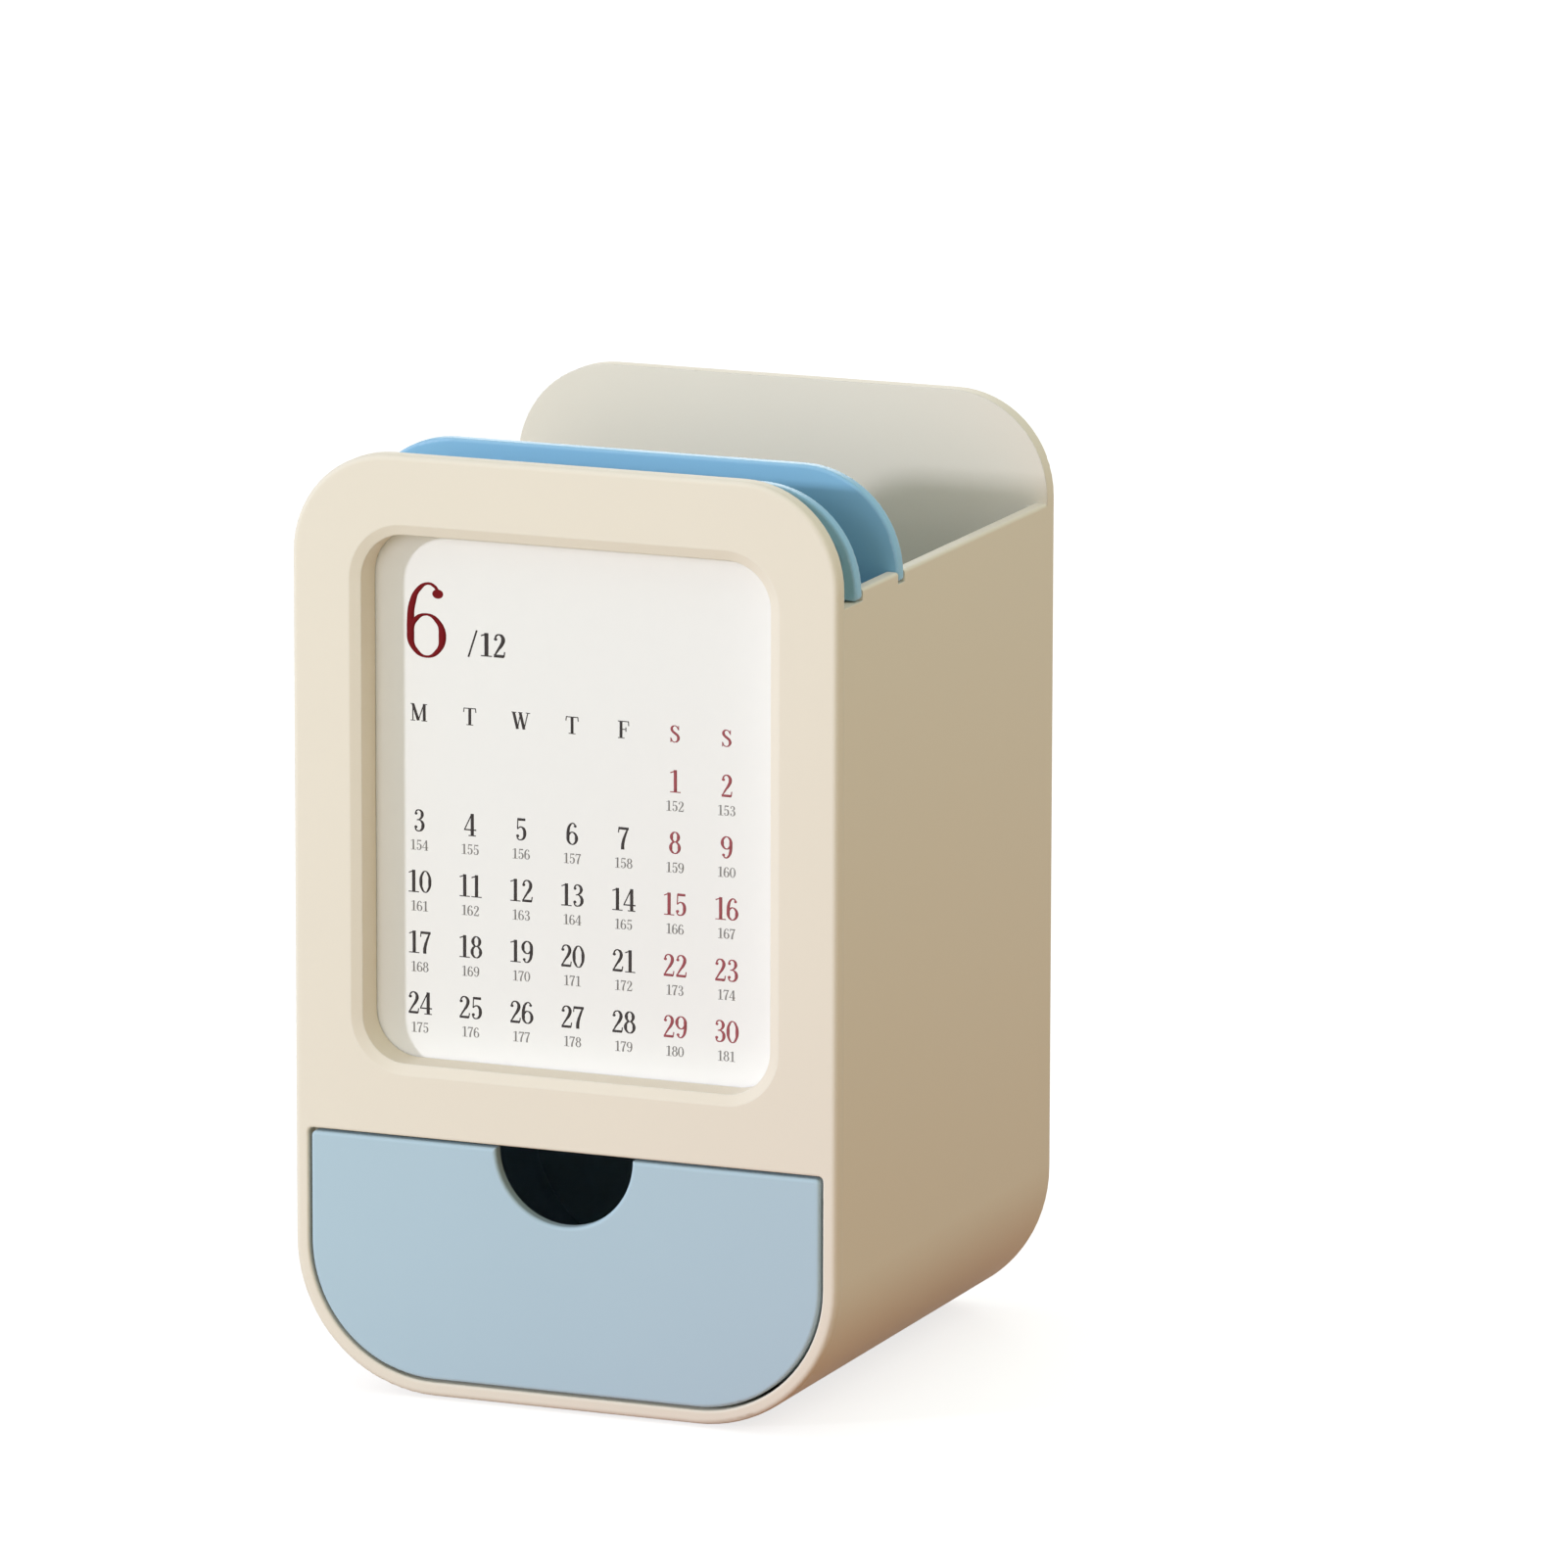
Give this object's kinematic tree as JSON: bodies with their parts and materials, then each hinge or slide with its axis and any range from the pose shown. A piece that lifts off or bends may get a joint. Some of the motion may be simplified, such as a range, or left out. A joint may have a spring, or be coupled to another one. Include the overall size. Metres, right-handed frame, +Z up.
{
  "type": "desk calendar organizer",
  "caption": "Desk calendar organizer: month cards behind a bevelled window, a note slot and pen cup behind them, and a shallow pull-out drawer with a half-round finger notch below.",
  "frame": {"origin": "middle of the plane that the foot pads rest on, under the centre of the outline", "axes": "+X to the right seen from the front, +Y from the front frame to the back wall, +Z up"},
  "size_m": [0.1134, 0.1134, 0.1856],
  "materials": {
    "case_plastic": "satin cream moulding",
    "drawer_plastic": "satin pale grey-blue moulding",
    "insert_plastic": "satin mid-blue moulding",
    "card_stock": "uncoated card",
    "pad_rubber": "matte grey"
  },
  "bodies": {
    "case": {"body_shell": "case_plastic", "front_frame": "case_plastic", "shelf": "case_plastic", "foot_pad_1": "pad_rubber", "foot_pad_2": "pad_rubber", "foot_pad_3": "pad_rubber", "foot_pad_4": "pad_rubber"},
    "drawer": {"drawer": "drawer_plastic"},
    "insert": {"slot_insert": "insert_plastic"},
    "card_01": {"month_card_01": "card_stock"},
    "card_02": {"month_card_02": "card_stock"},
    "card_03": {"month_card_03": "card_stock"},
    "card_04": {"month_card_04": "card_stock"},
    "card_05": {"month_card_05": "card_stock"},
    "card_06": {"month_card_06": "card_stock"}
  },
  "joints": [
    {"name": "drawer_slide", "type": "slide", "parent": "case", "child": "drawer", "axis": [0, -1, 0], "range_m": [0, 0.08]},
    {"name": "insert_lift", "type": "slide", "parent": "case", "child": "insert", "axis": [0, 0, 1], "range_m": [0, 0.105]},
    {"name": "card_01_lift", "type": "slide", "parent": "case", "child": "card_01", "axis": [0, 0, 1], "range_m": [0, 0.105]},
    {"name": "card_02_lift", "type": "slide", "parent": "case", "child": "card_02", "axis": [0, 0, 1], "range_m": [0, 0.105]},
    {"name": "card_03_lift", "type": "slide", "parent": "case", "child": "card_03", "axis": [0, 0, 1], "range_m": [0, 0.105]},
    {"name": "card_04_lift", "type": "slide", "parent": "case", "child": "card_04", "axis": [0, 0, 1], "range_m": [0, 0.105]},
    {"name": "card_05_lift", "type": "slide", "parent": "case", "child": "card_05", "axis": [0, 0, 1], "range_m": [0, 0.105]},
    {"name": "card_06_lift", "type": "slide", "parent": "case", "child": "card_06", "axis": [0, 0, 1], "range_m": [0, 0.105]}
  ]
}
